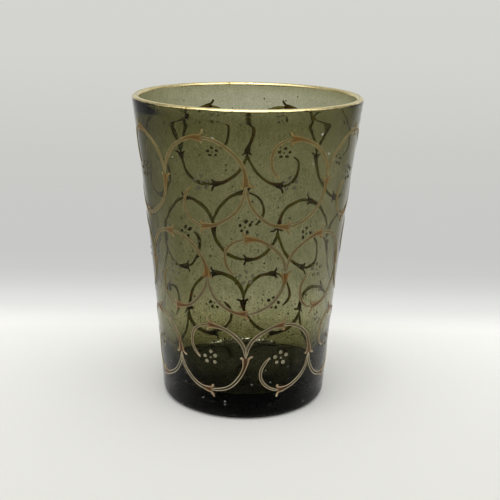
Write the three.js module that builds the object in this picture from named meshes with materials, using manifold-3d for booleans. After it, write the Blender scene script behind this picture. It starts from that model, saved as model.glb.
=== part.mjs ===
import * as THREE from 'three';
import { mergeVertices } from 'three/addons/utils/BufferGeometryUtils.js';
import Module from 'manifold-3d';

// A tapered vase of smoky olive glass with a gilded lip and three tiers of raised enamel scrollwork.
// Millimetres, +Z up. The origin is the centre of the resting face, and the front faces -Y.

// Glass body
const glassHeight = 157.6;
const rimRadius = 57.9;
const footRadius = 42.9;
const wallBow = 1.3; // how far the wall curves in from a straight cone at half height
const lipWall = 3.4;
const waistWall = 2.25; // where the wall is thinnest
const waistHeight = 40;
const footWall = 10.5; // what the wall would reach at the resting face, below the floor's top
const lipSwell = 1.3; // powers by which the wall thickens from its waist to the lip and to the foot
const footSwell = 2;
const floorThickness = 12;
const floorCorner = 2; // inside radius between wall and floor
const footRound = 3.5; // outside radius between wall and resting face
const hollowRadius = 13; // ground hollow in the middle of the underside
const hollowDepth = 1.2;
const segmentsAround = 40;
const wallSteps = 4;
const boreSteps = 3; // above the waist, and again below it
const cornerSteps = 2;
const footSteps = 3;
const lipSteps = 6;

// Gilding fired over the lip
const seatGap = 0.3; // between the glass and what is fired onto it
const gildingThickness = 0.25;
const gildingOuterDrop = 1.15; // how far below the top of the lip the band ends
const gildingInnerDrop = 1.5;
const gildingSteps = 4;

// Enamel scrollwork: in each tier a wavy stem runs round the wall, one half circle to a bay,
// and from the end of its half circle a branch curls back over the bay
const bayCount = 8;
const rimToTopTier = 34.3;
const footToBottomTier = 33.5;
const middleTierDrop = 1; // how far the middle tier hangs below half way
const stemWidth = 1.7;
const stemRelief = 0.5;
const tipWidth = 1;
const taperLength = 6;
const stemStart = 6; // clear of the bay before, measured along the stem
const curlRadius = 10;
const curlSweep = 145;
const firstSteps = 3; // straight steps to the first fork
const quarterSteps = 4; // and from one fork to the next
const curlSteps = 5;

// Forked copper nodes: the stem swells to a shoulder, and from there a blunt knob goes to the inside
// of the curve and a longer horn to its outside
const nodeRelief = 0.75;
const nodeBase = -0.06; // a little below the stem's base, so that the node takes the stem in
const nodeMargin = 0.05; // how much wider than the stem a node begins
const nodeReach = 5; // how far back along the stem it begins
const shoulderReach = 1.3;
const shoulderWidth = 2.9;
const nodeForward = 1.6; // how far the tips lean forward
const crotchForward = 0.7;
const knobOut = 2.3;
const knobWidth = 1.8;
const hornOut = 4.1;
const hornWidth = 1.4;

// Rosettes, one in each bay: beads of enamel on a ring and a small one in its middle
const beadCount = 5;
const beadRing = 3; // radius of the ring
const firstBead = 20; // degrees round the ring
const beadRadius = 0.9;
const middleBeadRadius = 0.5;
const beadRelief = 0.55;
const beadRoot = 0.35; // how deep a bead reaches into the wall
const beadSides = 5;

const radians = THREE.MathUtils.degToRad;
const wasm = await Module();
wasm.setup();

// Colours and finish
const glassMaterial = new THREE.MeshStandardMaterial({ color: 0x55562f, roughness: 0.08, metalness: 0 });
const gildingMaterial = new THREE.MeshStandardMaterial({ color: 0xd8b765, roughness: 0.3, metalness: 1 });
const enamelMaterial = new THREE.MeshStandardMaterial({ color: 0xb39a7a, roughness: 0.4, metalness: 0 });

// Outer radius of the wall at a height
function wallRadius(z) {
  const t = z / glassHeight;
  return THREE.MathUtils.lerp(footRadius, rimRadius, t) - 4 * wallBow * t * (1 - t);
}

// Inner radius of the wall at a height
function boreRadius(z) {
  const share = (z - waistHeight) / (z > waistHeight ? glassHeight - waistHeight : -waistHeight);
  const wall = z > waistHeight
    ? THREE.MathUtils.lerp(waistWall, lipWall, share ** lipSwell)
    : THREE.MathUtils.lerp(waistWall, footWall, share ** footSwell);
  return wallRadius(z) - wall;
}

// Points on an arc, both ends included, with angles in degrees
function arcPoints(x, y, radius, start, end, steps) {
  return Array.from({ length: steps + 1 }, (_, i) => {
    const angle = radians(THREE.MathUtils.lerp(start, end, i / steps));
    return new THREE.Vector2(x + radius * Math.cos(angle), y + radius * Math.sin(angle));
  });
}

// Points on a wall whose radius is a function of height, without its two ends
function wallPoints(radiusAt, from, to, steps) {
  return Array.from({ length: steps - 1 }, (_, i) => {
    const z = THREE.MathUtils.lerp(from, to, (i + 1) / steps);
    return new THREE.Vector2(radiusAt(z), z);
  });
}

// A solid of revolution about Z from an anticlockwise profile of radius and height
function revolve(profile) {
  const geometry = new THREE.LatheGeometry(profile, segmentsAround).rotateX(Math.PI / 2);
  geometry.deleteAttribute('normal');
  geometry.deleteAttribute('uv');
  return mergeVertices(geometry);
}

// The rounded lip, offset outwards from the glass, between two turns from its outer side over the top
const lipRound = lipWall / 2;
const lipStart = glassHeight - lipRound;
function lipArc(offset, from, to, steps) {
  const centre = wallRadius(lipStart) - lipRound;
  return arcPoints(centre, lipStart, lipRound + offset, from, to, steps);
}

function glassBody() {
  const cornerTop = floorThickness + floorCorner;
  return revolve([
    new THREE.Vector2(0, hollowDepth),
    new THREE.Vector2(hollowRadius / 2, hollowDepth * 0.75),
    new THREE.Vector2(hollowRadius, 0),
    ...arcPoints(wallRadius(footRound) - footRound, footRound, footRound, -90, 0, footSteps),
    ...wallPoints(wallRadius, footRound, lipStart, wallSteps),
    ...lipArc(0, 0, 180, lipSteps),
    ...wallPoints(boreRadius, lipStart, waistHeight, boreSteps),
    new THREE.Vector2(boreRadius(waistHeight), waistHeight),
    ...wallPoints(boreRadius, waistHeight, cornerTop, boreSteps),
    ...arcPoints(boreRadius(cornerTop) - floorCorner, cornerTop, floorCorner, 0, -90, cornerSteps),
    new THREE.Vector2(0, floorThickness),
  ]);
}

function rimGilding() {
  const turnAt = (drop) => THREE.MathUtils.radToDeg(Math.asin(1 - drop / lipRound));
  const [from, to] = [turnAt(gildingOuterDrop), 180 - turnAt(gildingInnerDrop)];
  const outside = lipArc(seatGap + gildingThickness, from, to, gildingSteps);
  const inside = lipArc(seatGap, from, to, gildingSteps).reverse();
  return revolve([...outside, ...inside, outside[0]]);
}

// A closed solid for joining from vertices and triangles
function solidOf(vertices, triangles) {
  const mesh = new wasm.Mesh({
    numProp: 3,
    vertProperties: new Float32Array(vertices),
    triVerts: new Uint32Array(triangles),
  });
  return new wasm.Manifold(mesh);
}

function geometryOf(solid) {
  const mesh = solid.getMesh();
  const geometry = new THREE.BufferGeometry();
  geometry.setAttribute('position', new THREE.BufferAttribute(mesh.vertProperties, 3));
  geometry.setIndex(new THREE.BufferAttribute(mesh.triVerts, 1));
  return mergeVertices(geometry);
}

// A point on the wall: x runs along the wall from the bay's middle, y up from the tier's middle,
// and lift stands out from the glass
function onWall(bay, x, y, lift) {
  const z = bay.height + y;
  const angle = bay.angle + x / wallRadius(bay.height);
  const radius = wallRadius(z) + lift;
  return [radius * Math.sin(angle), -radius * Math.cos(angle), z];
}

// Cross-section of a stem, anticlockwise, as [share of the width, height above the seat]:
// two raised edges with a channel between them
const stemSection = [
  [-0.5, 0],
  [0.5, 0],
  [0.3, stemRelief],
  [0, stemRelief * 0.4],
  [-0.3, stemRelief],
];

// A stem of enamel that follows a path on the wall
function stroke(bay, path, widths) {
  const sides = stemSection.length;
  const vertices = path.flatMap((point, i) => {
    const before = path[Math.max(i - 1, 0)];
    const after = path[Math.min(i + 1, path.length - 1)];
    const along = after.clone().sub(before).normalize();
    return stemSection.flatMap(([share, lift]) => {
      const across = share * widths[i];
      return onWall(bay, point.x - along.y * across, point.y + along.x * across, seatGap + lift);
    });
  });
  const triangles = [];
  for (let i = 0; i < path.length - 1; i++) {
    for (let j = 0; j < sides; j++) {
      const a = i * sides + j;
      const b = i * sides + ((j + 1) % sides);
      triangles.push(a, b, b + sides, a, b + sides, a + sides);
    }
  }
  const last = (path.length - 1) * sides;
  const outline = stemSection.map(([share, lift]) => new THREE.Vector2(share, lift));
  for (const [a, b, c] of THREE.ShapeUtils.triangulateShape(outline, [])) {
    triangles.push(a, c, b, last + a, last + b, last + c);
  }
  return solidOf(vertices, triangles);
}

// Widths along a path, full in the middle and narrow at both tips
function taperedWidths(path) {
  const distance = [0];
  for (let i = 1; i < path.length; i++) {
    distance.push(distance[i - 1] + path[i].distanceTo(path[i - 1]));
  }
  const length = distance[path.length - 1];
  return distance.map((d) => {
    const share = Math.min(1, d / taperLength, (length - d) / taperLength);
    return THREE.MathUtils.lerp(tipWidth, stemWidth, share);
  });
}

// A forked node at a corner of a path. It follows the path back to its start, and its knob goes to the
// left where side is 1 and to the right where it is -1.
function fork(bay, path, corner, side) {
  const point = path[corner];
  const incoming = point.clone().sub(path[corner - 1]).normalize();
  const outgoing = path[corner + 1].clone().sub(point).normalize();
  const along = incoming.clone().add(outgoing).normalize();
  const start = stemWidth / 2 + nodeMargin;
  const shoulder = shoulderWidth / 2;
  const outline = [
    [-nodeReach, -start],
    [-shoulderReach, -shoulder],
    [nodeForward - hornWidth / 2, -hornOut],
    [nodeForward + hornWidth / 2, -hornOut],
    [crotchForward, 0],
    [nodeForward + knobWidth / 2, knobOut],
    [nodeForward - knobWidth / 2, knobOut],
    [-shoulderReach, shoulder],
    [-nodeReach, start],
  ].map(([forward, sideways]) => {
    const axis = forward < 0 ? incoming : along;
    const across = new THREE.Vector2(-axis.y, axis.x).multiplyScalar(side * sideways);
    return point.clone().addScaledVector(axis, forward).add(across);
  });
  if (THREE.ShapeUtils.isClockWise(outline)) outline.reverse();
  const corners = outline.length;
  const vertices = [nodeBase, nodeRelief].flatMap((lift) => {
    return outline.flatMap(({ x, y }) => onWall(bay, x, y, seatGap + lift));
  });
  const triangles = THREE.ShapeUtils.triangulateShape(outline, []).flatMap(([a, b, c]) => {
    return [a, c, b, corners + a, corners + b, corners + c];
  });
  for (let i = 0; i < corners; i++) {
    const next = (i + 1) % corners;
    triangles.push(i, next, corners + next, i, corners + next, corners + i);
  }
  return solidOf(vertices, triangles);
}

// The scroll of one bay: its half circle of stem, the branch that curls back over it and three forks.
// A hanging bay has its stem below the middle and its branch above it, and a standing bay the reverse.
function scroll(bay) {
  const radius = (Math.PI * wallRadius(bay.height)) / bayCount;
  const startTurn = THREE.MathUtils.radToDeg(stemStart / radius);
  const side = bay.hanging ? 1 : -1;
  const path = [
    ...arcPoints(0, 0, radius, 180 + startTurn, 270, firstSteps),
    ...arcPoints(0, 0, radius, 270, 450, 2 * quarterSteps).slice(1),
    ...arcPoints(0, radius - curlRadius, curlRadius, 90, 90 + curlSweep, curlSteps).slice(1),
  ].map(({ x, y }) => new THREE.Vector2(x, side * y));
  const forks = [0, 1, 2].map((i) => fork(bay, path, firstSteps + i * quarterSteps, side));
  return wasm.Manifold.union([stroke(bay, path, taperedWidths(path)), ...forks]);
}

// A bead of enamel: a low cone whose foot lies inside the glass, as wide as its radius at the surface
function bead(bay, x, y, radius) {
  const foot = (radius * (beadRelief + beadRoot)) / beadRelief;
  const vertices = onWall(bay, x, y, beadRelief);
  const triangles = [];
  for (let i = 0; i < beadSides; i++) {
    const turn = (2 * Math.PI * i) / beadSides;
    vertices.push(...onWall(bay, x + foot * Math.cos(turn), y + foot * Math.sin(turn), -beadRoot));
    triangles.push(0, i + 1, ((i + 1) % beadSides) + 1);
    if (i > 0 && i < beadSides - 1) triangles.push(1, i + 2, i + 1);
  }
  return solidOf(vertices, triangles);
}

function rosette(bay) {
  const ring = Array.from({ length: beadCount }, (_, i) => {
    const turn = radians(firstBead + (360 / beadCount) * i);
    return bead(bay, beadRing * Math.cos(turn), beadRing * Math.sin(turn), beadRadius);
  });
  return [...ring, bead(bay, 0, 0, middleBeadRadius)];
}

// Each tier's name, middle height and the angle of a hanging bay, right of the front
const topTier = glassHeight - rimToTopTier;
const tiers = [
  { name: 'top', height: topTier, turn: 22.5 },
  { name: 'middle', height: (topTier + footToBottomTier) / 2 - middleTierDrop, turn: 0.9 },
  { name: 'bottom', height: footToBottomTier, turn: -20.9 },
];

const vase = new THREE.Group();

function addPiece(name, geometry, material) {
  const mesh = new THREE.Mesh(geometry, material.clone());
  mesh.name = name;
  vase.add(mesh);
}

const bays = tiers.flatMap(({ name, height, turn }) => {
  return Array.from({ length: bayCount }, (_, i) => ({
    name: `${name}_scroll_${i + 1}`,
    height,
    angle: radians(turn + (360 / bayCount) * i),
    hanging: i % 2 === 0,
  }));
});
const glass = glassBody();
const glassSolid = solidOf(glass.attributes.position.array, glass.index.array);
const beadedGlass = wasm.Manifold.union([glassSolid, ...bays.flatMap(rosette)]);
addPiece('vase_body', geometryOf(beadedGlass), glassMaterial);
addPiece('rim_gilding', rimGilding(), gildingMaterial);
for (const bay of bays) {
  addPiece(bay.name, geometryOf(scroll(bay)), enamelMaterial);
}

export default vase;
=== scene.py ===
import math

import bpy
import numpy as np
from mathutils import Matrix, Vector

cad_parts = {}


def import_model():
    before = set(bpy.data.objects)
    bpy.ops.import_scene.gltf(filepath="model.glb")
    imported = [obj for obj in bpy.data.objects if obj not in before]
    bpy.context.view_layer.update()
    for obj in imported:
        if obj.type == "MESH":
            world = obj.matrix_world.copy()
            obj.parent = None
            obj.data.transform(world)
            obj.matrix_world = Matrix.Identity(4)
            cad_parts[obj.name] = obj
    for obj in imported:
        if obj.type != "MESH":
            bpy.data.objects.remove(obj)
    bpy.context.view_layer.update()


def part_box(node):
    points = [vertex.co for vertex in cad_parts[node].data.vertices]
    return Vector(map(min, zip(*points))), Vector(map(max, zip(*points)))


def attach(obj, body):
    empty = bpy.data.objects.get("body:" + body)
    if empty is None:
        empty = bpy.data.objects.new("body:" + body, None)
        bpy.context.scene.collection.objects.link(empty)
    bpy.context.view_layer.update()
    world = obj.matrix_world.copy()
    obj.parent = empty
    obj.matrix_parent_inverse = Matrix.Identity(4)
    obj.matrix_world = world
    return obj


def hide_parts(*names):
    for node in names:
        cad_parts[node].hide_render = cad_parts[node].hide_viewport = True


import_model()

rng = np.random.default_rng(seed=7)
MM = 0.001

# Glass body
GLASS_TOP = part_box("vase_body")[1].z
RIM_RADIUS = 57.9 * MM
FOOT_RADIUS = 42.9 * MM
WALL_BOW = 1.3 * MM
LIP_WALL = 3.4 * MM
WAIST_WALL = 2.1 * MM
WAIST_HEIGHT = 40.0 * MM
FOOT_WALL = 10.5 * MM
GROWTH_ABOVE_WAIST = 1.3
GROWTH_BELOW_WAIST = 2
FLOOR_THICKNESS = 12.0 * MM
FLOOR_CORNER = 2.0 * MM
CORNER_TOP = FLOOR_THICKNESS + FLOOR_CORNER
FOOT_ROUND = 3.5 * MM
HOLLOW_RADIUS = 13.0 * MM
HOLLOW_DEPTH = 1.2 * MM
FOOT_SKIN_START = 40.5 * MM
LIP_SKIN_START = 54.5 * MM
LIP_ROUND = LIP_WALL / 2
LIP_START = GLASS_TOP - LIP_ROUND
AROUND = 256

# Unevenness of the blown glass
BORE_ASIDE = 0.45 * MM
BORE_BACK = 0.9 * MM
BACK_AT_FRONT = -0.5
SHOULDER_WALL = 0.9 * MM
SHOULDER_START = 133.0 * MM
SHOULDER_END = 150.0 * MM
LIP_TILT = 0.45 * MM
LIP_TILT_POWER = 12
EVEN_UNDER_LIP = 1.5 * MM
LIP_BLEND = 6.0 * MM
EVEN_OVER_FLOOR = 20.0 * MM
FLOOR_BLEND = 30.0 * MM
BROAD_WAVE = 0.07 * MM
RIPPLE = 0.008 * MM
STREAK = 0.0025 * MM

# Gilding
GOLD_DROP_OUTSIDE = 1.15 * MM
GOLD_DROP_INSIDE = 1.5 * MM
GOLD_PROUD = 0.06 * MM
GOLD_SUNK = 0.02 * MM
GOLD_STEPS = 24

# Tiers of scrollwork: name, height, and turn of the first bay in degrees
BAYS = 8
TOP_TIER = GLASS_TOP - 34.3 * MM
BOTTOM_TIER = 33.5 * MM
MIDDLE_TIER = (TOP_TIER + BOTTOM_TIER) / 2 - 1.0 * MM
TIERS = (
    ("top", TOP_TIER, 22.5),
    ("middle", MIDDLE_TIER, 0.9),
    ("bottom", BOTTOM_TIER, -20.9),
)

# Enamel strokes
STEM_GAP = 0.9 * MM
CURL_RADIUS = 10.0 * MM
CURL_SWEEP = 145.0
CURL_NARROWING = 0.78
HAND_WOBBLE = 0.18 * MM
WOBBLE_FADE = 4.0 * MM
WOBBLE_WAVES = ((1.0, 4.1 * MM), (0.6, 2.3 * MM))
WIDTH_WAVES = ((0.10, 2.9 * MM), (0.07, 1.3 * MM))
PATH_STEP = 0.7 * MM
STRAND_OFFSET = 0.73 * MM
STRAND_WIDTH = 0.42 * MM
STRAND_RELIEF = 0.25 * MM
COPPER_RELIEF = 0.3
BED_RELIEF = 0.08 * MM
BED_SWELL = 1.8
BED_COPPER = 1.25
SUNK = 0.04 * MM
QUICK_START = 2.5 * MM
SLOW_START = 11.0 * MM
QUICK_SHARE = 0.7
START_OFFSET_SHARE = 0.3
START_WIDTH_SHARE = 0.7
COPPER_LENGTH = 12.0 * MM
CURL_COPPER = 0.2
FLARE_LENGTH = 6.5 * MM
FLARE_WIDTH = 0.58 * MM
FLARE_SWELL = 0.55 * MM
FLARE_POWER = 1.5
TAIL_LENGTH = 4.0 * MM
TAIL_OFFSET_SHARE = 0.45
TAIL_WIDTH_SHARE = 1.15
PRONG_WIDTH = 1.35 * MM
PRONG_END_INNER = 1.45
PRONG_END_OUTER = 1.1
PRONG_BEND_INNER = ((0.45, 0.2), (0.8, 0.5), (1.0, 0.95))
PRONG_BEND_OUTER = ((0.5, 0.25), (1.0, 0.75), (1.4, 1.4), (1.65, 2.1))
SECTION_STEPS = 8
CAP_STEPS = 4
CAP_END = 0.1

# Enamel rosettes
DOTS = 5
ROSETTE_RADIUS = 3.0 * MM
ROSETTE_TURN = 20
DOT_RADIUS = 1.0 * MM
DOT_RELIEF = 0.32 * MM
CENTRE_DOT_ASIDE = 0.1 * MM
CENTRE_DOT_RADIUS = 0.55 * MM
CENTRE_DOT_RELIEF = 0.25 * MM
DOT_DIP = 0.25
DOT_SIDES = 18
DOT_PROFILE = ((1.0, 0.0), (0.97, 0.45), (0.86, 0.8), (0.68, 1.0), (0.48, 1.0))
DOT_DIP_RING = 0.3
DOT_DIP_SHARE = 0.7
DOT_CROWN_GAIN = 1.1

# Stage
FLOOR_FRONT = -2.5
FLOOR_END = 0.119
BACKDROP_START = 0.45
BACKDROP_SWEEP = 0.35
BACKDROP_TOP = 3.0
STAGE_HALF_WIDTH = 3.0


def smooth_step(x):
    """A soft rise from nought at nought to one at one."""
    x = max(0.0, min(1.0, x))
    return x * x * (3 - 2 * x)


def blend(share, start, end):
    """The value that lies a share of the way from the start to the end."""
    return start + (end - start) * share


def ease(distances, length):
    """Smooth steps from nought to one over a length, at each of the distances from its start."""
    return np.array([smooth_step(d / length) for d in distances])


def front_share(turn):
    """One at the front of the vase, and nought at its back."""
    return (1 + math.cos(turn)) / 2


def arc(x, y, radius, start, end, steps):
    """Points on an arc with both ends, angles in degrees."""
    turn = np.radians(np.linspace(start, end, steps + 1))
    return [(x + radius * math.cos(a), y + radius * math.sin(a)) for a in turn]


def around_axis(radius, turn, z):
    """A place at a radius, a turn from the front and a height."""
    return Vector((radius * math.sin(turn), -radius * math.cos(turn), z))


def ring_faces(start, rings, around, closed=False):
    """Quads between rings of vertices that follow each other from a starting index."""
    faces = []
    for k in range(rings if closed else rings - 1):
        a = start + k * around
        b = start + (k + 1) % rings * around
        for i in range(around):
            j = (i + 1) % around
            faces.append((a + i, a + j, b + j, b + i))
    return faces


def fan_faces(centre, start, around):
    """Triangles between a centre vertex and a ring of vertices."""
    return [(centre, start + i, start + (i + 1) % around) for i in range(around)]


def turned_over(faces):
    return [face[::-1] for face in faces]


def new_mesh(name, vertices, faces):
    """A smooth-shaded mesh object in the scene."""
    mesh = bpy.data.meshes.new(name)
    mesh.from_pydata([tuple(v) for v in vertices], [], faces)
    mesh.update()
    mesh.validate()
    for polygon in mesh.polygons:
        polygon.use_smooth = True
    piece = bpy.data.objects.new(name, mesh)
    bpy.context.scene.collection.objects.link(piece)
    return piece


def add_attribute(piece, name, values):
    """A number on each vertex, which a material reads by its name."""
    attribute = piece.data.attributes.new(name, "FLOAT", "POINT")
    attribute.data.foreach_set("value", np.array(values, np.float32))


def revolve_parts(profile, shape, closed=False):
    """Vertices and faces of a solid of revolution about Z. An open profile starts and ends on the axis."""
    rings = profile if closed else profile[1:-1]
    vertices = []
    for radius, z in rings:
        for i in range(AROUND):
            turn = 2 * math.pi * i / AROUND
            reach, height = shape(radius, z, turn)
            vertices.append(around_axis(reach, turn, height))
    faces = ring_faces(0, len(rings), AROUND, closed)
    if not closed:
        first_centre = len(vertices)
        last_ring = first_centre - AROUND
        vertices.append((0, 0, profile[0][1]))
        vertices.append((0, 0, profile[-1][1]))
        faces += turned_over(fan_faces(first_centre, 0, AROUND))
        faces += fan_faces(first_centre + 1, last_ring, AROUND)
    return vertices, faces


def bubble_parts(centre, sizes, rings=4, around=6):
    """Vertices and faces of an ellipsoid that faces inwards, because it is a hole in the glass."""
    vertices = [centre + Vector((0, 0, -sizes.z))]
    for k in range(1, rings):
        rise = math.pi * k / rings - math.pi / 2
        for i in range(around):
            turn = 2 * math.pi * i / around
            x = sizes.x * math.cos(rise) * math.cos(turn)
            y = sizes.y * math.cos(rise) * math.sin(turn)
            vertices.append(centre + Vector((x, y, sizes.z * math.sin(rise))))
    top = len(vertices)
    vertices.append(centre + Vector((0, 0, sizes.z)))
    faces = turned_over(fan_faces(0, 1, around))
    faces += fan_faces(top, top - around, around)
    faces += ring_faces(1, rings - 1, around)
    return vertices, turned_over(faces)


def link(tree, output, target):
    """Joins two sockets, or sets the second one to a plain value."""
    if isinstance(output, (int, float, tuple)):
        target.default_value = output
    else:
        tree.links.new(output, target)


def node_material(name):
    material = bpy.data.materials.new(name)
    material.use_nodes = True
    tree = material.node_tree
    shader = tree.nodes["Principled BSDF"]
    return material, tree, shader


def split_node(tree, vector):
    """The three coordinates of a vector."""
    node = tree.nodes.new("ShaderNodeSeparateXYZ")
    tree.links.new(vector, node.inputs[0])
    return node.outputs


def place_on_piece(tree):
    """The place on the piece's surface, and its coordinates."""
    position = tree.nodes.new("ShaderNodeTexCoord").outputs["Object"]
    return position, split_node(tree, position)


def attribute_node(tree, name):
    node = tree.nodes.new("ShaderNodeAttribute")
    node.attribute_name = name
    return node.outputs["Fac"]


def math_node(tree, operation, *values, clamp=False):
    node = tree.nodes.new("ShaderNodeMath")
    node.operation = operation
    node.use_clamp = clamp
    for value, target in zip(values, node.inputs):
        link(tree, value, target)
    return node.outputs[0]


def product(tree, first, *others):
    """All the values multiplied with each other."""
    for other in others:
        first = math_node(tree, "MULTIPLY", first, other)
    return first


def inverted(tree, value):
    """What the value leaves of one."""
    return math_node(tree, "SUBTRACT", 1.0, value)


def scaled(tree, value, factor, offset):
    """The value times a factor, plus an offset."""
    return math_node(tree, "MULTIPLY_ADD", value, factor, offset)


def length_node(tree, x, y):
    """The length of a line with x and y as its sides."""
    return math_node(tree, "SQRT", scaled(tree, x, x, product(tree, y, y)))


def map_range(tree, value, low, high, to_low=0.0, to_high=1.0):
    """The value's place between low and high, kept between to_low and to_high."""
    node = tree.nodes.new("ShaderNodeMapRange")
    for item, target in zip((value, low, high, to_low, to_high), node.inputs):
        link(tree, item, target)
    return node.outputs[0]


def grey(level):
    return (level, level, level)


def ramp_node(tree, value, stops):
    """A colour that changes with a value, by stops of a position and a colour each."""
    node = tree.nodes.new("ShaderNodeValToRGB")
    ramp = node.color_ramp
    while len(ramp.elements) < len(stops):
        ramp.elements.new(0.5)
    for element, (position, colour) in zip(ramp.elements, stops):
        element.position = position
        element.color = (*colour, 1)
    link(tree, value, node.inputs[0])
    return node.outputs[0]


def mix_colour(tree, factor, first, second, mode="MIX"):
    node = tree.nodes.new("ShaderNodeMix")
    node.data_type = "RGBA"
    node.blend_type = mode
    link(tree, factor, node.inputs[0])
    link(tree, first if not isinstance(first, tuple) else (*first, 1), node.inputs[6])
    link(tree, second if not isinstance(second, tuple) else (*second, 1), node.inputs[7])
    return node.outputs[2]


def tinted(tree, first, second):
    """Two colours multiplied."""
    return mix_colour(tree, 1.0, first, second, mode="MULTIPLY")


def noise_node(tree, position, scale, detail):
    node = tree.nodes.new("ShaderNodeTexNoise")
    node.inputs["Scale"].default_value = scale
    node.inputs["Detail"].default_value = detail
    tree.links.new(position, node.inputs["Vector"])
    return node.outputs["Fac"]


def dots_node(tree, position, scale, spread, sparse, limit):
    """Nought in small scattered dots of uneven size, and one between them."""
    soft_edge = 0.04
    cells = tree.nodes.new("ShaderNodeTexVoronoi")
    cells.inputs["Scale"].default_value = scale
    tree.links.new(position, cells.inputs["Vector"])
    pick = tree.nodes.new("ShaderNodeSeparateColor")
    tree.links.new(cells.outputs["Color"], pick.inputs[0])
    reach = scaled(tree, pick.outputs[0], spread, cells.outputs["Distance"])
    return map_range(tree, math_node(tree, "ADD", reach, sparse), limit - soft_edge, limit)


def add_bump(tree, shader, height, strength, distance):
    bump = tree.nodes.new("ShaderNodeBump")
    bump.inputs["Strength"].default_value = strength
    bump.inputs["Distance"].default_value = distance
    tree.links.new(height, bump.inputs["Height"])
    tree.links.new(bump.outputs["Normal"], shader.inputs["Normal"])


def mirrored_ray(tree):
    """One for a ray that a surface mirrors, and nought for one that passes through it."""
    path = tree.nodes.new("ShaderNodeLightPath")
    passes = inverted(tree, path.outputs["Is Transmission Ray"])
    return product(tree, path.outputs["Is Glossy Ray"], passes)


def glass_material():
    """Smoky olive glass: the colour is in its volume, and its surface carries the mottling and specks,
    glints in the floor's corner, and white specks that are painted glints.
    """
    olive = (0.42, 0.40, 0.09, 1)
    dim_mirror = (0.4, 0.4, 0.4, 1)
    glint_white = grey(0.95)
    glint_roughness = 0.3
    material, tree, shader = node_material("smoky_olive_glass")
    position, split = place_on_piece(tree)
    glints = floor_glints(tree, position, split)
    # Painted glints: white specks that stand for bubbles catching the light
    painted_glints = painted_glint_specks(tree, position, split)
    specks = math_node(tree, "ADD", glints, painted_glints)
    tint = mottling(tree, position, split["Z"])
    tree.links.new(mix_colour(tree, specks, tint, glint_white), shader.inputs["Base Color"])
    tree.links.new(inverted(tree, specks), shader.inputs["Transmission Weight"])
    tree.links.new(glints, shader.inputs["Metallic"])
    tree.links.new(product(tree, glints, glint_roughness), shader.inputs["Roughness"])
    shader.inputs["IOR"].default_value = 1.5
    shader.inputs["Specular Tint"].default_value = dim_mirror
    volume = tree.nodes.new("ShaderNodeVolumeAbsorption")
    volume.inputs["Color"].default_value = olive
    volume.inputs["Density"].default_value = 420.0
    output = tree.nodes["Material Output"]
    tree.links.new(volume.outputs["Volume"], output.inputs["Volume"])
    return material


def mottling(tree, position, height):
    """Faint streaks, clouds and specks of the blown surface, which tint the light that passes through it."""
    clear = (1.0, 1.0, 1.0)
    smoke = (0.68, 0.70, 0.62)
    seed_brown = (0.14, 0.12, 0.05)
    speck_black = (0.015, 0.012, 0.004)
    drawn = tree.nodes.new("ShaderNodeMapping")
    drawn.inputs["Scale"].default_value = (1, 1, 0.16)
    tree.links.new(position, drawn.inputs["Vector"])
    streaks = noise_node(tree, drawn.outputs["Vector"], scale=900.0, detail=2.0)
    clouds = noise_node(tree, position, scale=130.0, detail=4.0)
    grain = noise_node(tree, position, scale=1300.0, detail=1.0)
    dark = scaled(tree, streaks, 0.25, product(tree, clouds, 0.25))
    dark = scaled(tree, grain, 0.5, dark)
    tint = mix_colour(tree, map_range(tree, dark, low=0.42, high=0.64), clear, smoke)
    fewer_high_up = product(tree, height, 1.2)
    seeds = dots_node(tree, position, scale=420.0, spread=0.35, sparse=fewer_high_up, limit=0.27)
    tint = mix_colour(tree, seeds, seed_brown, tint)
    fewer_high_up = product(tree, height, 0.25)
    specks = dots_node(tree, position, scale=330.0, spread=0.7, sparse=fewer_high_up, limit=0.235)
    return mix_colour(tree, specks, speck_black, tint)


def floor_glints(tree, position, split):
    """A broken line of glints in the back corner of the floor."""
    reach = length_node(tree, split["X"], split["Y"])
    corner = product(
        tree,
        math_node(tree, "LESS_THAN", reach, FOOT_SKIN_START),
        map_range(tree, split["Y"], low=29.0 * MM, high=34.0 * MM),
        map_range(tree, split["Z"], low=FLOOR_THICKNESS + 0.2 * MM, high=FLOOR_THICKNESS + 0.3 * MM),
        map_range(tree, split["Z"], low=FLOOR_THICKNESS + 3.0 * MM, high=FLOOR_THICKNESS + 2.5 * MM))
    grains = dots_node(tree, position, scale=900.0, spread=0.35, sparse=0.0, limit=0.50)
    return product(tree, corner, inverted(tree, grains))


def painted_glint_specks(tree, position, split):
    """Painted glints: a few milky white specks low down and near the lip, most of them on the outside, which
    stand for bubbles catching the light.
    """
    reach = length_node(tree, split["X"], split["Y"])
    low = product(
        tree,
        map_range(tree, split["Z"], low=30.0 * MM, high=26.0 * MM),
        math_node(tree, "GREATER_THAN", reach, FOOT_SKIN_START),
        inverted(tree, dots_node(tree, position, scale=450.0, spread=0.6, sparse=0.0, limit=0.25)))
    high = product(
        tree,
        map_range(tree, split["Z"], low=128.0 * MM, high=134.0 * MM, to_low=0.0, to_high=0.35),
        math_node(tree, "GREATER_THAN", reach, LIP_SKIN_START),
        inverted(tree, dots_node(tree, position, scale=260.0, spread=1.6, sparse=0.0, limit=0.20)))
    return scaled(tree, low, 0.24, high)


def wall_radius(z):
    """Outer radius of the wall at a height."""
    t = z / GLASS_TOP
    return blend(t, FOOT_RADIUS, RIM_RADIUS) - 4 * WALL_BOW * t * (1 - t)


def bore_radius(z):
    """Inner radius of the wall at a height."""
    if z > WAIST_HEIGHT:
        share = (z - WAIST_HEIGHT) / (GLASS_TOP - WAIST_HEIGHT)
        wall = blend(share ** GROWTH_ABOVE_WAIST, WAIST_WALL, LIP_WALL)
    else:
        share = 1 - z / WAIST_HEIGHT
        wall = blend(share ** GROWTH_BELOW_WAIST, WAIST_WALL, FOOT_WALL)
    return wall_radius(z) - wall


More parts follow.
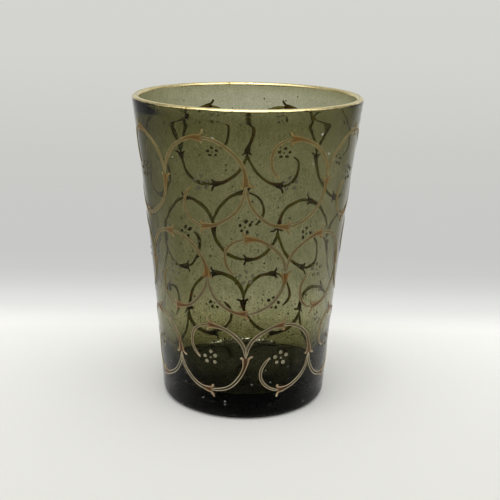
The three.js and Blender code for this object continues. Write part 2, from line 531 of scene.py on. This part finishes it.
LIP_CENTRE = wall_radius(LIP_START) - LIP_ROUND
CORNER_CENTRE = bore_radius(CORNER_TOP) - FLOOR_CORNER


def bore_shift(turn, z):
    """How far the bore lies outside its even radius: it is off centre, and soft waves run over it."""
    high = z / GLASS_TOP
    lip = smooth_step((GLASS_TOP - z - EVEN_UNDER_LIP) / LIP_BLEND)
    low = smooth_step((z - EVEN_OVER_FLOOR) / FLOOR_BLEND)
    aside = BORE_ASIDE * low * math.sin(turn)
    back = BORE_BACK * high * blend(front_share(turn), 1.0, BACK_AT_FRONT)
    rise = smooth_step((z - SHOULDER_START) / (SHOULDER_END - SHOULDER_START))
    shoulder = -SHOULDER_WALL * rise * front_share(turn)
    # In a wave, a factor of the turn is its number all round, and a factor of z is in radians per metre
    broad = math.sin(5 * turn + 70 * z) * math.sin(95 * z + 2 * turn + 1)
    ripple = math.sin(23 * turn + 3 * math.sin(60 * z)) * math.sin(420 * z + 4 * turn)
    streak = math.sin(57 * turn + 2 * math.sin(35 * z))
    streak += 0.7 * math.sin(91 * turn + 3 * math.sin(28 * z + 1))
    swell = BROAD_WAVE * broad + RIPPLE * (1 + high) * ripple + STREAK * streak
    return lip * (aside + back + shoulder + low * swell)


def lip_lift(turn, z):
    """The lip stands a little higher at the front."""
    return LIP_TILT * (z / GLASS_TOP) ** LIP_TILT_POWER * front_share(turn)


def glass_body():
    """The turned glass from the ground hollow over the lip to the floor, with its bubbles."""
    foot_centre = wall_radius(FOOT_ROUND) - FOOT_ROUND
    profile = [(0, HOLLOW_DEPTH)]
    for share in np.linspace(0, 1, num=9)[1:]:
        profile.append((HOLLOW_RADIUS * share, HOLLOW_DEPTH * (1 - share * share)))
    profile += [(blend(share, HOLLOW_RADIUS, foot_centre), 0) for share in (0.33, 0.67)]
    profile += arc(foot_centre, FOOT_ROUND, FOOT_ROUND, -90, 0, steps=10)
    profile += [(wall_radius(z), z) for z in np.linspace(FOOT_ROUND, LIP_START, num=60)[1:-1]]
    profile += arc(LIP_CENTRE, LIP_START, LIP_ROUND, 0, 180, steps=14)
    profile += [(bore_radius(z), z) for z in np.linspace(LIP_START, CORNER_TOP, num=140)[1:-1]]
    profile += arc(CORNER_CENTRE, CORNER_TOP, FLOOR_CORNER, 0, -90, steps=12)
    profile += [(CORNER_CENTRE * share, FLOOR_THICKNESS) for share in (0.66, 0.33)]
    profile.append((0, FLOOR_THICKNESS))

    def shape(radius, z, turn):
        in_bore = CORNER_TOP < z < LIP_START and radius < wall_radius(z) - WAIST_WALL / 2
        shift = bore_shift(turn, z) if in_bore else 0
        return radius + shift, z + lip_lift(turn, z)

    vertices, faces = revolve_parts(profile, shape)
    for centre, sizes in bubbles():
        more, sides = bubble_parts(centre, sizes)
        faces += [tuple(i + len(vertices) for i in side) for side in sides]
        vertices += more
    body = new_mesh("glass_body", vertices, faces)
    body.data.materials.append(glass_material())
    return body


def wall_bubble():
    """A small bubble within the wall, more often low down, and drawn out a little upwards."""
    z = (16 + 134 * rng.random() ** 1.4) * MM
    turn = rng.uniform(0, 2 * math.pi)
    size = (0.15 + 0.33 * rng.random() ** 2.5) * MM
    deep = rng.uniform(0.35, 0.65)
    radius = blend(deep, wall_radius(z), bore_radius(z) + bore_shift(turn, z))
    return around_axis(radius, turn, z), Vector((size, size, size * rng.uniform(1.0, 1.6)))


def round_sizes():
    """Half sizes of a round bubble in the thick glass."""
    size = (0.2 + 0.3 * rng.random() ** 2) * MM
    return Vector((size, size, size))


def foot_bubble():
    """A round bubble close under the outside of the foot."""
    z = rng.uniform(4, 20) * MM
    turn = rng.uniform(0, 2 * math.pi)
    sizes = round_sizes()
    radius = wall_radius(z) - rng.uniform(1.2, 3.0) * MM
    return around_axis(radius, turn, z), sizes


def floor_bubble():
    """A round bubble close under the floor."""
    reach = 36 * MM * math.sqrt(rng.random())
    turn = rng.uniform(0, 2 * math.pi)
    sizes = round_sizes()
    z = FLOOR_THICKNESS - rng.uniform(0.7, 3.0) * MM
    return around_axis(reach, turn, z), sizes


def corner_bubble():
    """A round bubble close behind the rounded corner at the back of the floor."""
    turn = math.pi + rng.normal(0, 0.45)
    size = rng.uniform(0.14, 0.34) * MM
    tilt = math.radians(rng.uniform(15, 75))
    reach = FLOOR_CORNER + size + rng.uniform(0.1, 0.5) * MM
    centre = around_axis(CORNER_CENTRE + reach * math.cos(tilt), turn, CORNER_TOP - reach * math.sin(tilt))
    return centre, Vector((size, size, size))


def bubbles():
    """Centres and half sizes of all the bubbles in the glass."""
    counts = {wall_bubble: 1100, foot_bubble: 110, floor_bubble: 110, corner_bubble: 260}
    return [make() for make, count in counts.items() for _ in range(count)]


def gilding_material():
    """Fired gold that is rubbed along its crown, worn in spots, and with painted shade as a dark line at its
    lower edge outside.
    """
    pale_gold = (0.88, 0.76, 0.42)
    deep_gold = (0.76, 0.63, 0.30)
    rubbed_gold = (0.34, 0.27, 0.12)
    worn_brown = (0.30, 0.20, 0.06)
    painted_edge_shade = (0.07, 0.04, 0.008)
    material, tree, shader = node_material("burnished_gilding")
    position, _ = place_on_piece(tree)
    across = attribute_node(tree, "across")
    brushed = noise_node(tree, position, scale=700.0, detail=3.0)
    broad = noise_node(tree, position, scale=160.0, detail=3.0)
    jitter = scaled(tree, brushed, 0.3, -0.15)
    gold = mix_colour(tree, map_range(tree, broad, low=0.35, high=0.65), pale_gold, deep_gold)
    crown = math_node(tree, "ABSOLUTE", math_node(tree, "ADD", across, 0.05))
    crown = math_node(tree, "ADD", crown, jitter)
    rubbed = map_range(tree, crown, low=0.0, high=0.2, to_low=0.9, to_high=0.0)
    gold = mix_colour(tree, rubbed, gold, rubbed_gold)
    worn = map_range(tree, scaled(tree, brushed, 0.4, broad), low=0.86, high=0.92)
    gold = mix_colour(tree, worn, gold, worn_brown)
    # Painted shade: the lower edge outside turns dark brown
    shaded_edge = map_range(tree, math_node(tree, "ADD", across, jitter), low=0.86, high=0.98)
    gold = mix_colour(tree, shaded_edge, gold, painted_edge_shade)
    tree.links.new(gold, shader.inputs["Base Color"])
    shader.inputs["Metallic"].default_value = 1.0
    polish = map_range(tree, brushed, low=0.3, high=0.7, to_low=0.16, to_high=0.30)
    tree.links.new(polish, shader.inputs["Roughness"])
    dents = noise_node(tree, position, scale=450.0, detail=2.0)
    add_bump(tree, shader, dents, strength=0.5, distance=0.12 * MM)
    return material


def rim_gilding():
    """The gold over the lip, with both of its edges a little uneven."""
    first = math.degrees(math.asin(1 - GOLD_DROP_OUTSIDE / LIP_ROUND))
    last = 180 - math.degrees(math.asin(1 - GOLD_DROP_INSIDE / LIP_ROUND))

    def line(offset):
        return arc(LIP_CENTRE, LIP_START, LIP_ROUND + offset, first, last, GOLD_STEPS)

    def shape(radius, z, turn):
        # The edges wander by small shares of their angle from the crown
        reach = math.hypot(radius - LIP_CENTRE, z - LIP_START)
        angle = math.atan2(z - LIP_START, radius - LIP_CENTRE) - math.pi / 2
        outside = 0.05 * math.sin(9 * turn + 1) + 0.05 * math.sin(23 * turn) + 0.03 * math.sin(61 * turn)
        inside = 0.06 * math.sin(7 * turn) + 0.05 * math.sin(31 * turn + 2)
        angle *= 1 + (outside if angle < 0 else inside)
        height = LIP_START + reach * math.cos(angle)
        return LIP_CENTRE - reach * math.sin(angle), height + lip_lift(turn, height)

    profile = line(GOLD_PROUD) + line(-GOLD_SUNK)[::-1]
    band = new_mesh("rim_gold", *revolve_parts(profile, shape, closed=True))
    across = np.linspace(1, -1, GOLD_STEPS + 1)
    add_attribute(band, "across", np.repeat(np.r_[across, across[::-1]], AROUND))
    band.data.materials.append(gilding_material())
    return band


def enamel_material(name, pale_stops, brown_stops):
    """Fired enamel: pale strands, brown nodes and a bed darkened by painted shade in its groove, with
    painted shading on the strands' flanks, in colours that change with height, partly as painted light.
    """
    pale_groove_shade = ((0.06, 0.055, 0.04), (0.64, 0.60, 0.52))
    brown_groove_shade = ((0.26, 0.15, 0.09), (0.66, 0.54, 0.40))
    flank_shade_tints = ((0.66, 0.60, 0.48), (0.44, 0.28, 0.20))
    strand_undersides = ((0.54, 0.42, 0.07), (0.40, 0.20, 0.025))
    bed_undersides = ((0.97, 0.89, 0.38), (0.54, 0.30, 0.06))
    material, tree, shader = node_material(name)
    position, split = place_on_piece(tree)
    height = map_range(tree, split["Z"], 0.0, GLASS_TOP)
    # The colours by height are partly painted light: paler low down, as if lit by the bright floor, and
    # darker above
    pale = ramp_node(tree, height, pale_stops)
    brown = ramp_node(tree, height, brown_stops)
    copper = attribute_node(tree, "copper")
    crown = attribute_node(tree, "crown")
    bed = attribute_node(tree, "bed")
    uneven = noise_node(tree, position, scale=420.0, detail=4.0)
    patchy = scaled(tree, uneven, 0.6, -0.34)
    tan = math_node(tree, "ADD", copper, patchy, clamp=True)
    paint = mix_colour(tree, tan, pale, brown)
    # Painted shade: the groove of the bed between the strands is darkened, strongly low down and less above
    high = map_range(tree, height, low=0.2, high=0.45)
    groove_shade_tints = [mix_colour(tree, high, *tints) for tints in (pale_groove_shade, brown_groove_shade)]
    groove_shade = mix_colour(tree, tan, *groove_shade_tints)
    paint = mix_colour(tree, bed, paint, tinted(tree, paint, groove_shade))
    # Painted shade: the flanks of each strand are darker than its crown, as though lit from above
    flank_shade = tinted(tree, paint, mix_colour(tree, tan, *flank_shade_tints))
    raised = mix_colour(tree, map_range(tree, crown, low=0.2, high=0.8), flank_shade, paint)
    strand_under = mix_colour(tree, tan, *strand_undersides)
    bed_under = mix_colour(tree, tan, *bed_undersides)
    under = mix_colour(tree, bed, strand_under, bed_under)
    colour = mix_colour(tree, map_range(tree, crown, low=-0.6, high=0.0), under, raised)
    shade = scaled(tree, uneven, 0.6, 0.7)
    tree.links.new(tinted(tree, colour, shade), shader.inputs["Base Color"])
    tree.links.new(scaled(tree, uneven, 0.3, 0.25), shader.inputs["Roughness"])
    shader.inputs["Specular IOR Level"].default_value = 0.3
    shader.inputs["Subsurface Weight"].default_value = 1.0
    shader.inputs["Subsurface Radius"].default_value = (1.0, 0.9, 0.7)
    shader.inputs["Subsurface Scale"].default_value = 0.18 * MM
    pitting = noise_node(tree, position, scale=2200.0, detail=2.0)
    add_bump(tree, shader, pitting, strength=0.25, distance=0.1 * MM)
    return material


def stroke_enamel():
    """Colours by share of the vase's height: pale bone low down, and thinner and browner above; the change
    is partly the paint's own and partly painted light, brighter low down near the bright floor and darker
    above.
    """
    return enamel_material("fired_enamel", [
        (0.10, (0.50, 0.44, 0.31)),
        (0.28, (0.36, 0.31, 0.20)),
        (0.46, (0.20, 0.17, 0.09)),
        (0.80, (0.25, 0.205, 0.085)),
    ], [
        (0.10, (0.265, 0.165, 0.08)),
        (0.40, (0.21, 0.122, 0.036)),
        (0.80, (0.20, 0.128, 0.032)),
    ])


def dot_enamel():
    """The same for the rosettes, which are greyer, and darker above partly as painted shade, so that they
    nearly melt into the glass there.
    """
    return enamel_material("fired_enamel_dots", [
        (0.15, (0.33, 0.31, 0.22)),
        (0.30, (0.14, 0.13, 0.075)),
        (0.80, (0.105, 0.10, 0.055)),
    ], [
        (0.15, (0.12, 0.10, 0.06)),
        (0.80, (0.09, 0.08, 0.04)),
    ])


def on_wall(bay, x, y, lift):
    """A place on a bay, x to the right and y up from its middle, at a lift off the glass."""
    z = bay["height"] + y
    turn = bay["turn"] + x / wall_radius(bay["height"])
    return around_axis(wall_radius(z) + lift, turn, z)


def path_lengths(points):
    """The distance of each point of a path from its start."""
    return np.r_[0, np.cumsum(np.hypot(*np.diff(points, axis=0).T))]


def resample(points, step):
    """Evenly spaced points along a path, and the distance of each from its start."""
    points = np.array(points, float)
    lengths = path_lengths(points)
    count = max(3, int(round(lengths[-1] / step)) + 1)
    at = np.linspace(0, lengths[-1], count)
    return np.c_[np.interp(at, lengths, points[:, 0]), np.interp(at, lengths, points[:, 1])], at


def along_and_inside(points):
    """The unit direction along a path at each point, and the direction square to it, to its left."""
    along = np.gradient(points, axis=0)
    along /= np.hypot(along[:, 0], along[:, 1])[:, None]
    return along, np.c_[-along[:, 1], along[:, 0]]


def waves(lengths, parts):
    """A sum of waves along a path from random phases, each with an amount and a length."""
    phases = rng.uniform(0, 2 * math.pi, len(parts))
    return sum(amount * np.sin(lengths / reach + phase) for (amount, reach), phase in zip(parts, phases))


class Enamel:
    """Collects the raised strokes and dots of one piece of enamel."""

    section = np.radians(np.linspace(0, 180, SECTION_STEPS + 1))

    def __init__(self, bay):
        self.bay = bay
        self.vertices = []
        self.faces = []
        self.marks = {"copper": [], "crown": [], "bed": []}

    def put(self, spot, lift, copper, crown, bed=0.0):
        self.vertices.append(on_wall(self.bay, spot[0], spot[1], lift))
        for label, value in (("copper", copper), ("crown", crown), ("bed", bed)):
            self.marks[label].append(value)

    def ridge(self, points, widths, reliefs, coppers, bed=0.0):
        """A domed ridge along points, with rounded ends."""
        along, side = along_and_inside(points)
        last = len(points) - 1
        cap = np.linspace(0, math.pi / 2, CAP_STEPS + 1)[1:]
        rings = [(0, -widths[0] / 2 * math.sin(a), max(math.cos(a), CAP_END)) for a in cap[::-1]]
        rings += [(i, 0, 1.0) for i in range(last + 1)]
        rings += [(last, widths[-1] / 2 * math.sin(a), max(math.cos(a), CAP_END)) for a in cap]
        start = len(self.vertices)
        for i, forward, grow in rings:
            centre = points[i] + along[i] * forward
            half = widths[i] / 2 * grow
            for angle in self.section:
                lift = reliefs[i] * grow * math.sin(angle)
                # The crown mark sets the painted shading: one on top of the ridge, less down its flanks, and
                # one over the flat bed
                crown = max(math.sin(angle), bed)
                self.put(centre - side[i] * half * math.cos(angle), lift, coppers[i], crown, bed)
            for across in (-half, half):
                self.put(centre - side[i] * across, -SUNK * (1 + bed), coppers[i], -1.0, bed)
        sides = len(self.section) + 2
        self.faces += [(a, d, c, b) for a, b, c, d in ring_faces(start, len(rings), sides)]
        first_end = tuple(start + j for j in range(sides))
        last_end = tuple(len(self.vertices) - sides + j for j in range(sides))
        self.faces += [first_end, last_end[::-1]]

    def dot(self, x, y, radius, relief, dip=DOT_DIP):
        """A bead with a shallow dip in its crown."""
        start = len(self.vertices)
        rings = [*DOT_PROFILE, (DOT_DIP_RING, 1.0 - dip * DOT_DIP_SHARE)]
        # The crown mark follows the lift, so the dip and the edge take the painted shade of the flanks
        for share, lift in rings:
            for spot in self.circle(x, y, radius * share):
                self.put(spot, relief * lift, 0.0, min(1, lift * DOT_CROWN_GAIN))
        top = len(self.vertices)
        self.put((x, y), relief * (1 - dip), 1.0, 1.0)
        base = len(self.vertices)
        for spot in self.circle(x, y, radius):
            self.put(spot, -SUNK, 0.0, -1.0)
        self.faces += ring_faces(start, len(rings), DOT_SIDES)
        self.faces += fan_faces(top, top - DOT_SIDES, DOT_SIDES)
        for i in range(DOT_SIDES):
            j = (i + 1) % DOT_SIDES
            self.faces.append((base + i, base + j, start + j, start + i))
        self.faces.append(tuple(base + i for i in range(DOT_SIDES))[::-1])

    def circle(self, x, y, radius):
        turns = [2 * math.pi * i / DOT_SIDES for i in range(DOT_SIDES)]
        return [(x + radius * math.cos(turn), y + radius * math.sin(turn)) for turn in turns]

    def stem(self, path, forked=True):
        """Two strands with a bed between them along a path, which flare into a fork or taper to a tail."""
        points, at = resample(path, PATH_STEP)
        along, side = along_and_inside(points)
        length = at[-1]
        opened = blend(QUICK_SHARE, ease(at, SLOW_START), ease(at, QUICK_START))
        flare = ease(at - length + FLARE_LENGTH, FLARE_LENGTH) ** FLARE_POWER
        reach = COPPER_LENGTH * rng.uniform(0.5, 1.2)
        strong = rng.uniform(0.6, 0.9)
        copper = strong * ease(at - length + reach, reach)
        offset = STRAND_OFFSET * blend(opened, START_OFFSET_SHARE, 1.0)
        width = STRAND_WIDTH * blend(opened, START_WIDTH_SHARE, 1.0) * (1 + waves(at, WIDTH_WAVES))
        if forked:
            offset = offset + FLARE_WIDTH * flare
            width = width + FLARE_SWELL * flare
        else:
            tail = ease(length - at, TAIL_LENGTH)
            offset = CURL_NARROWING * offset * blend(tail, TAIL_OFFSET_SHARE, 1.0)
            width = width * blend(tail, TAIL_WIDTH_SHARE, 1.0)
            copper = np.full(len(at), CURL_COPPER)
        for sign in (-1, 1):
            strand = points + side * (sign * offset)[:, None]
            widths, coppers = list(width), list(copper)
            if forked:
                inner = sign == self.bay["in"]
                prong = self.prong(strand[-1], along[-1], side[-1] * sign, inner)
                strand = np.vstack([strand, prong])
                end_width = (PRONG_END_INNER if inner else PRONG_END_OUTER) * rng.uniform(0.9, 1.15) * MM
                widths += list(np.linspace(PRONG_WIDTH, end_width, len(prong)))
                coppers += list(np.linspace(coppers[-1], rng.uniform(0.1, 0.7), len(prong)))
            reliefs = [STRAND_RELIEF * (1.0 + COPPER_RELIEF * c) for c in coppers]
            self.ridge(strand, widths, reliefs, coppers)
        reliefs = BED_RELIEF * (1 + BED_SWELL * flare * forked)
        coppers = np.minimum(1, copper * BED_COPPER)
        keep = slice(0, None if forked else -2)
        self.ridge(points[keep], 2 * offset[keep], reliefs[keep], coppers[keep], bed=1.0)

    def prong(self, end, along, out, inner):
        """The blunt, curled tip of a strand, as points that go on from it."""
        turn = math.radians(rng.uniform(-12, 12))
        ahead = along * math.cos(turn) + out * math.sin(turn)
        aside = out * math.cos(turn) - along * math.sin(turn)
        bend = PRONG_BEND_INNER if inner else PRONG_BEND_OUTER
        size = rng.uniform(0.8, 1.05) * MM
        return np.array([end + (ahead * forward + aside * reach) * size for forward, reach in bend])

    def piece(self, name, material):
        """The mesh object of all that was collected."""
        enamel = new_mesh(name, self.vertices, self.faces)
        for label, values in self.marks.items():
            add_attribute(enamel, label, values)
        enamel.data.materials.append(material)
        return enamel


def wobbled(points):
    """A path with the small unevenness of a stroke made by hand, which fades out at both ends."""
    points = np.array(points)
    length = path_lengths(points)
    fade = np.minimum(1, np.minimum(length, length[-1] - length) / WOBBLE_FADE)
    _, side = along_and_inside(points)
    return points + side * (HAND_WOBBLE * waves(length, WOBBLE_WAVES) * fade)[:, None]


def scroll(bay, name, material):
    """One bay: its half circle of stem, the branch that curls back over it, and three forks."""
    radius = math.pi * wall_radius(bay["height"]) / BAYS
    flip = 1 if bay["hanging"] else -1
    bay["in"] = flip
    gap = math.degrees(STEM_GAP / radius)
    strokes = [
        (arc(0, 0, radius, 180 + gap, 270, steps=40), True),
        (arc(0, 0, radius, 270, 360, steps=40), True),
        (arc(0, 0, radius, gap, 90, steps=40), True),
        (arc(0, radius - CURL_RADIUS, CURL_RADIUS, 90, 90 + CURL_SWEEP, steps=40), False),
    ]
    enamel = Enamel(bay)
    for points, forked in strokes:
        path = [(x, y * flip) for x, y in wobbled(points)]
        enamel.stem(path, forked)
    return enamel.piece(name, material)


def rosette(bay, name, material):
    """Dots on a ring in the bay's middle, with a small one in their centre."""
    enamel = Enamel(bay)
    for i in range(DOTS):
        turn = math.radians(ROSETTE_TURN + 360 / DOTS * i + rng.uniform(-9, 9))
        reach = ROSETTE_RADIUS * rng.uniform(0.94, 1.08)
        radius = DOT_RADIUS * rng.uniform(0.95, 1.08)
        enamel.dot(reach * math.cos(turn), reach * math.sin(turn), radius, DOT_RELIEF)
    enamel.dot(CENTRE_DOT_ASIDE, 0, CENTRE_DOT_RADIUS, CENTRE_DOT_RELIEF, dip=0.0)
    return enamel.piece(name, material)


def floor_colour(tree, back):
    """The floor's colour, paler towards the back as painted light, where the floor is lit more."""
    return ramp_node(tree, map_range(tree, back, low=-0.25, high=0.15), [
        (0.0, (0.68, 0.675, 0.64)),
        (0.45, (0.80, 0.795, 0.76)),
        (0.7, (0.90, 0.895, 0.865)),
        (0.9, (0.99, 0.985, 0.96)),
    ])


def backdrop_colour(tree, back, height):
    """The backdrop's colour, which darkens behind the floor's end and turns paler again above."""
    rise = scaled(tree, height, 1.2, back)
    return ramp_node(tree, map_range(tree, rise, low=0.1, high=1.0), [
        (0.0, (0.86, 0.86, 0.845)),
        (0.045, (0.755, 0.755, 0.74)),
        (0.08, (0.655, 0.655, 0.64)),
        (0.115, (0.60, 0.60, 0.585)),
        (0.17, (0.578, 0.578, 0.565)),
        (0.37, (0.58, 0.58, 0.565)),
        (0.565, (0.597, 0.60, 0.575)),
        (0.8, (0.645, 0.65, 0.615)),
        (1.0, (0.66, 0.665, 0.63)),
    ])


def mirrored_veil(tree, across_axis, back):
    """How dark the stage is where the vase mirrors it: all of it at the sides, and the floor in front."""
    turn = math_node(tree, "ARCTAN2", across_axis, back)
    around = ramp_node(tree, map_range(tree, turn, -math.pi, math.pi), [
        (0.0, grey(0.42)),
        (0.375, grey(0.46)),
        (0.425, grey(1.0)),
        (0.61, grey(1.0)),
        (0.655, grey(0.42)),
        (1.0, grey(0.42)),
    ])
    front = map_range(tree, back, low=-0.06, high=0.0, to_low=0.15, to_high=0.8)
    reach = length_node(tree, across_axis, back)
    veil = mix_colour(tree, map_range(tree, reach, low=0.16, high=0.30), front, around)
    return mix_colour(tree, mirrored_ray(tree), grey(1.0), veil)


def stage_material():
    """A matt floor, and a backdrop that shows at an even brightness to the camera and in mirrored light."""
    material, tree, shader = node_material("pale_backdrop")
    shader.inputs["Roughness"].default_value = 0.9
    shader.inputs["Specular IOR Level"].default_value = 0.1
    split = split_node(tree, tree.nodes.new("ShaderNodeNewGeometry").outputs["Position"])
    back = split["Y"]
    near = floor_colour(tree, back)
    far = backdrop_colour(tree, back, split["Z"])
    beyond = map_range(tree, back, low=FLOOR_END - 0.03, high=FLOOR_END + 0.01)
    plain = mix_colour(tree, beyond, near, far)
    veil = mirrored_veil(tree, split["X"], back)
    tree.links.new(tinted(tree, plain, veil), shader.inputs["Base Color"])
    path = tree.nodes.new("ShaderNodeLightPath")
    seen = math_node(tree, "MAXIMUM", path.outputs["Is Camera Ray"], path.outputs["Is Glossy Ray"])
    glow = tree.nodes.new("ShaderNodeEmission")
    tree.links.new(tinted(tree, far, veil), glow.inputs["Color"])
    choose = tree.nodes.new("ShaderNodeMixShader")
    tree.links.new(product(tree, seen, beyond), choose.inputs[0])
    tree.links.new(shader.outputs[0], choose.inputs[1])
    tree.links.new(glow.outputs[0], choose.inputs[2])
    tree.links.new(choose.outputs[0], tree.nodes["Material Output"].inputs["Surface"])
    return material


def stage():
    """A pale floor that ends behind the vase and sweeps up into a greyer backdrop."""
    profile = [(FLOOR_FRONT, 0.0)]
    profile += arc(BACKDROP_START, BACKDROP_SWEEP, BACKDROP_SWEEP, -90, 0, steps=32)
    profile.append((profile[-1][0], BACKDROP_TOP))
    vertices = [(x, y, z) for y, z in profile for x in (-STAGE_HALF_WIDTH, STAGE_HALF_WIDTH)]
    faces = [(2 * i, 2 * i + 1, 2 * i + 3, 2 * i + 2) for i in range(len(profile) - 1)]
    floor = new_mesh("floor_and_backdrop", vertices, faces)
    floor.data.materials.append(stage_material())


def world():
    """Even light on all surfaces, and a room with a bright ceiling in what they mirror."""
    ceiling = (1.6, 1.58, 1.5)
    even = grey(0.93)
    scene = bpy.context.scene
    scene.world = bpy.data.worlds.new("studio")
    scene.world.use_nodes = True
    tree = scene.world.node_tree
    background = tree.nodes["Background"]
    split = split_node(tree, tree.nodes.new("ShaderNodeTexCoord").outputs["Generated"])
    room = ramp_node(tree, map_range(tree, split["Y"], -1.0, 1.0), [
        (0.0, grey(0.05)),
        (0.35, grey(0.10)),
        (0.5, (0.35, 0.35, 0.34)),
        (0.8, (0.62, 0.62, 0.60)),
    ])
    above = map_range(tree, split["Z"], low=0.45, high=0.9)
    mirrored = mix_colour(tree, above, room, ceiling)
    tree.links.new(mix_colour(tree, mirrored_ray(tree), even, mirrored), background.inputs["Color"])
    background.inputs["Strength"].default_value = 1.0


def lamp(name, place, width, depth, power):
    """A rectangular lamp that points at the vase's middle."""
    target = Vector((0, 0, 80 * MM))
    data = bpy.data.lights.new(name, "AREA")
    data.shape = "RECTANGLE"
    data.size = width
    data.size_y = depth
    data.energy = power
    light = bpy.data.objects.new(name, data)
    light.location = place
    light.rotation_euler = (target - light.location).to_track_quat("-Z", "Y").to_euler()
    bpy.context.scene.collection.objects.link(light)


def camera():
    """The photograph's camera: in front of the vase, tilted down and a little rolled."""
    place = Vector((2.43, -477.0, 216.95)) * MM
    pitch = math.radians(16.392)
    roll = math.radians(1.0)
    forward = Vector((0, math.cos(pitch), -math.sin(pitch)))
    level = Vector((1, 0, 0))
    upright = Vector((0, math.sin(pitch), math.cos(pitch)))
    right = level * math.cos(roll) + upright * math.sin(roll)
    up = upright * math.cos(roll) - level * math.sin(roll)
    data = bpy.data.cameras.new("photo_camera")
    data.sensor_width = 36.0
    data.lens = 68.29
    data.clip_start = 0.01
    data.clip_end = 20.0
    viewer = bpy.data.objects.new("photo_camera", data)
    axes = Matrix((right, up, -forward)).transposed().to_4x4()
    viewer.matrix_world = Matrix.Translation(place) @ axes
    bpy.context.scene.collection.objects.link(viewer)
    bpy.context.scene.camera = viewer


camera()
world()
lamp("ceiling_panel", place=(0.1, -0.35, 1.3), width=1.6, depth=1.2, power=5.0)
lamp("small_ceiling_lamp", place=(-0.15, -0.25, 1.5), width=0.16, depth=0.16, power=1.2)
stage()

body = glass_body()
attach(body, "root")
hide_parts("vase_body")

gold = rim_gilding()
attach(gold, "root")
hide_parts("rim_gilding")

strokes = stroke_enamel()
dotted = dot_enamel()
for tier, height, first in TIERS:
    for i in range(BAYS):
        bay = {
            "height": height,
            "turn": math.radians(first + 360 / BAYS * i),
            "hanging": i % 2 == 0,
        }
        piece = scroll(bay, f"{tier}_enamel_{i + 1}", strokes)
        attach(piece, "root")
        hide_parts(f"{tier}_scroll_{i + 1}")
        dots = rosette(bay, f"{tier}_rosette_{i + 1}", dotted)
        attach(dots, "root")

scene = bpy.context.scene
scene.view_settings.view_transform = "Standard"
scene.cycles.max_bounces = 24
scene.cycles.transmission_bounces = 24
